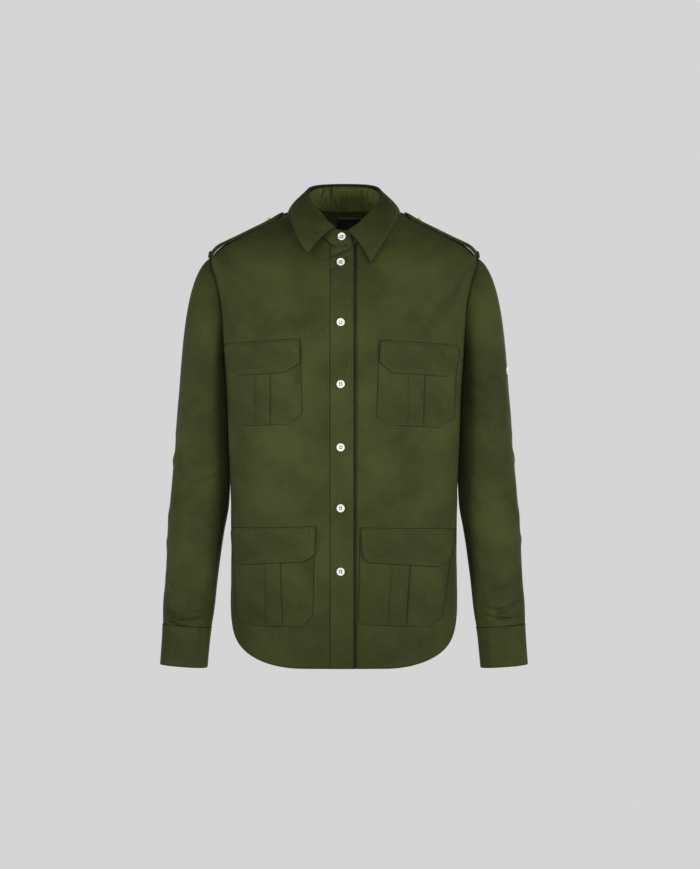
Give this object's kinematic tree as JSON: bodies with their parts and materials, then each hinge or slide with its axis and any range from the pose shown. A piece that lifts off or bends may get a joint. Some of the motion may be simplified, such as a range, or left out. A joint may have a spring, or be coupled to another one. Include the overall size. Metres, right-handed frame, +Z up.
{
  "type": "long-sleeved shirt",
  "caption": "Field shirt in olive cotton twill with a pointed collar, shoulder straps, flapped pleat pockets and a curved hem, filled out as if worn and open inside",
  "frame": {"origin": "the middle of the neck opening, level with the high points of the shoulders, where the neck of a wearer holds the shirt", "axes": "+Z up, +X to the wearer's left, +Y to the back; the buttoned front faces -Y"},
  "size_m": [0.5846, 0.2315, 0.7841],
  "materials": {
    "cotton_twill": "washed twill with a soft sheen",
    "button_pearl": "polished mother of pearl",
    "label_satin": "black woven satin, bare"
  },
  "bodies": {
    "root": {"front_right": "cotton_twill", "front_left": "cotton_twill", "placket": "cotton_twill", "back": "cotton_twill", "yoke": "cotton_twill", "collar_stand": "cotton_twill", "collar_leaf": "cotton_twill", "sleeve_right": "cotton_twill", "sleeve_left": "cotton_twill", "cuff_right": "cotton_twill", "cuff_left": "cotton_twill", "sleeve_placket_right": "cotton_twill", "sleeve_placket_left": "cotton_twill", "epaulette_right": "cotton_twill", "epaulette_left": "cotton_twill", "chest_pocket_right": "cotton_twill", "chest_pocket_left": "cotton_twill", "chest_flap_right": "cotton_twill", "chest_flap_left": "cotton_twill", "lower_pocket_right": "cotton_twill", "lower_pocket_left": "cotton_twill", "lower_flap_right": "cotton_twill", "lower_flap_left": "cotton_twill", "button_collar": "button_pearl", "button_1": "button_pearl", "button_2": "button_pearl", "button_3": "button_pearl", "button_4": "button_pearl", "button_5": "button_pearl", "button_6": "button_pearl", "button_strap_right": "button_pearl", "button_strap_left": "button_pearl", "button_tab_right": "button_pearl", "button_tab_left": "button_pearl", "button_cuff_right": "button_pearl", "button_cuff_left": "button_pearl", "neck_label": "label_satin"}
  },
  "joints": []
}
